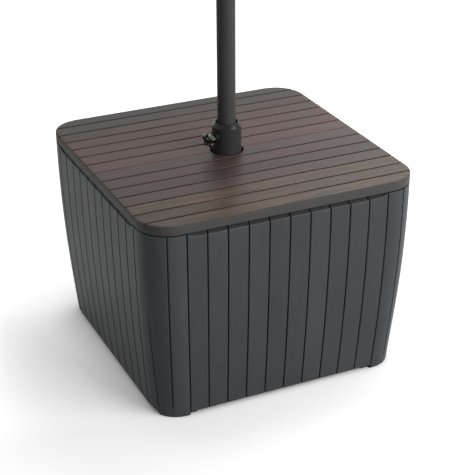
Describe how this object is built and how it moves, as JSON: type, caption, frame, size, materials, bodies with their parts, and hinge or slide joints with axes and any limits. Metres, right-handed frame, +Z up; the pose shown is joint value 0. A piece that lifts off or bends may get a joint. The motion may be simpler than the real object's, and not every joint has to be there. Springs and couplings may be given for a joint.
{
  "type": "garden table",
  "caption": "Square resin garden table with boarded top, rounded corners and bowed slatted walls, hiding a weighted stand whose screw clamp grips a central parasol pole.",
  "frame": {"origin": "centre of the table on the floor", "axes": "+Z up along the parasol pole, -Y towards the fixed half top under the clamp knob, +X to the right seen from there"},
  "size_m": [0.616, 0.616, 0.89],
  "materials": {
    "slat_resin": "satin dark grey moulded resin",
    "board_resin": "weathered brown-grey board print on resin",
    "tray_plastic": "plain black moulded plastic",
    "pad_rubber": "black rubber",
    "ballast_iron": "rough cast, dark primer",
    "frame_steel": "black powder coat",
    "stand_coat": "dark grey powder coat",
    "pole_coat": "dark grey satin powder coat",
    "trim_plastic": "dark grey moulded plastic",
    "zinc_steel": "bright zinc plate"
  },
  "bodies": {
    "table": {"side_panel_front": "slat_resin", "side_panel_right": "slat_resin", "side_panel_rear": "slat_resin", "side_panel_left": "slat_resin", "corner_post_front_left": "slat_resin", "corner_post_front_right": "slat_resin", "corner_post_rear_right": "slat_resin", "corner_post_rear_left": "slat_resin", "top_front": "board_resin", "floor_tray": "tray_plastic", "upper_pole_bush": "tray_plastic", "lower_pole_bush": "tray_plastic", "pole_seat": "tray_plastic", "foot_pads": "pad_rubber", "centre_pads": "pad_rubber", "ballast_weight_front_left": "ballast_iron", "ballast_weight_front_right": "ballast_iron", "ballast_weight_rear_right": "ballast_iron", "ballast_weight_rear_left": "ballast_iron", "base_plate": "frame_steel", "tube_flange": "frame_steel", "rail_plate": "frame_steel", "seam_rail_left": "frame_steel", "seam_rail_right": "frame_steel", "rail_hangers": "frame_steel", "stand_tube": "stand_coat", "tube_sleeve": "stand_coat", "clamp_boss": "stand_coat", "flange_bolts": "zinc_steel", "flange_nuts": "zinc_steel", "panel_screws": "zinc_steel", "tray_screws": "zinc_steel", "hanger_screws": "zinc_steel", "rail_screws": "zinc_steel"},
    "lid": {"top_rear": "board_resin"},
    "pole": {"pole_tube": "pole_coat", "pole_end_plug": "tray_plastic", "pole_stop": "tray_plastic", "pole_ferrule": "trim_plastic"},
    "clamp_pad": {"clamp_pad": "pad_rubber"},
    "clamp_screw": {"clamp_stud": "zinc_steel", "clamp_knob": "trim_plastic"}
  },
  "joints": [
    {"name": "lid_lift", "type": "slide", "parent": "table", "child": "lid", "axis": [0, 0, 1], "range_m": [0, 0.15]},
    {"name": "pole_slide", "type": "slide", "parent": "table", "child": "pole", "axis": [0, 0, 1], "range_m": [0, 0.34]},
    {"name": "clamp_pad_slide", "type": "slide", "parent": "table", "child": "clamp_pad", "axis": [-0.9304, -0.3665, 0], "range_m": [0, 0.0038]},
    {"name": "clamp_turn", "type": "hinge", "parent": "clamp_pad", "child": "clamp_screw", "pos_m": [0, 0, 0.498], "axis": [-0.9304, -0.3665, 0], "range_deg": [0, 1080]}
  ],
  "couplings": [
    {"joint": "clamp_pad_slide", "follows": "clamp_turn", "m_per_rad": 0.00019894}
  ]
}
